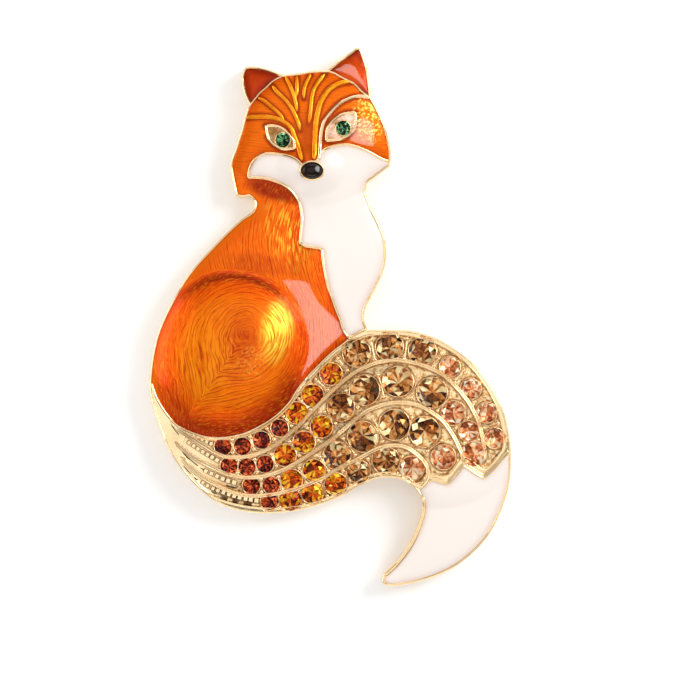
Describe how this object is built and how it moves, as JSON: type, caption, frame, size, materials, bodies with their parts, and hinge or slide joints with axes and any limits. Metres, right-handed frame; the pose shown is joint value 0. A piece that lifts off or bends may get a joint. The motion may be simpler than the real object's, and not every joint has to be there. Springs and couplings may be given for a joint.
{
  "type": "figural fox brooch",
  "caption": "Sitting fox brooch: a domed gold-plated casting with orange and white enamel cells, rows of set stones along the curled tail and a plain pin in its hollow back.",
  "frame": {"origin": "middle of the bounding box in plan, on the flat underside of the casting's edge, which lies on the table", "axes": "+Z out of the face, +Y from the tail tip to the ears, +X to the wearer's left, the viewer's right"},
  "size_m": [0.0369, 0.055, 0.0059],
  "materials": {
    "gold_plate": "polished gold plating on a zinc alloy casting",
    "orange_enamel": "translucent orange enamel over engraved gold, high gloss",
    "red_enamel": "translucent dark red enamel, high gloss",
    "white_enamel": "opaque white enamel, high gloss",
    "black_enamel": "opaque black enamel, high gloss",
    "dark_red_crystal": "foil-backed cut glass, dark red",
    "orange_crystal": "foil-backed cut glass, orange",
    "champagne_crystal": "foil-backed cut glass, champagne",
    "peach_crystal": "foil-backed cut glass, peach",
    "green_crystal": "foil-backed cut glass, emerald green"
  },
  "bodies": {
    "root": {"gold_body": "gold_plate", "pin_fitting": "gold_plate", "head_enamel": "orange_enamel", "body_enamel": "orange_enamel", "ear_left_enamel": "red_enamel", "ear_right_enamel": "red_enamel", "bib_enamel": "white_enamel", "tail_tip_enamel": "white_enamel", "nose_enamel": "black_enamel", "eye_stone_left": "green_crystal", "eye_stone_right": "green_crystal", "row1_stone_01": "dark_red_crystal", "row1_stone_02": "dark_red_crystal", "row1_stone_03": "dark_red_crystal", "row1_stone_04": "dark_red_crystal", "row1_stone_05": "orange_crystal", "row1_stone_06": "orange_crystal", "row1_stone_07": "orange_crystal", "row1_stone_08": "champagne_crystal", "row1_stone_09": "champagne_crystal", "row1_stone_10": "champagne_crystal", "row1_stone_11": "peach_crystal", "row1_stone_12": "peach_crystal", "row1_stone_13": "peach_crystal", "row1_stone_14": "peach_crystal", "row2_stone_01": "dark_red_crystal", "row2_stone_02": "dark_red_crystal", "row2_stone_03": "dark_red_crystal", "row2_stone_04": "orange_crystal", "row2_stone_05": "orange_crystal", "row2_stone_06": "orange_crystal", "row2_stone_07": "champagne_crystal", "row2_stone_08": "champagne_crystal", "row2_stone_09": "champagne_crystal", "row2_stone_10": "champagne_crystal", "row2_stone_11": "peach_crystal", "row2_stone_12": "peach_crystal", "row2_stone_13": "peach_crystal", "row3_stone_01": "dark_red_crystal", "row3_stone_02": "dark_red_crystal", "row3_stone_03": "orange_crystal", "row3_stone_04": "orange_crystal", "row3_stone_05": "champagne_crystal", "row3_stone_06": "champagne_crystal", "row3_stone_07": "champagne_crystal", "row3_stone_08": "champagne_crystal", "row3_stone_09": "peach_crystal", "row4_stone_01": "dark_red_crystal", "row4_stone_02": "orange_crystal", "row4_stone_03": "orange_crystal", "row4_stone_04": "orange_crystal", "row4_stone_05": "champagne_crystal", "row4_stone_06": "champagne_crystal", "row4_stone_07": "peach_crystal"}
  },
  "joints": []
}
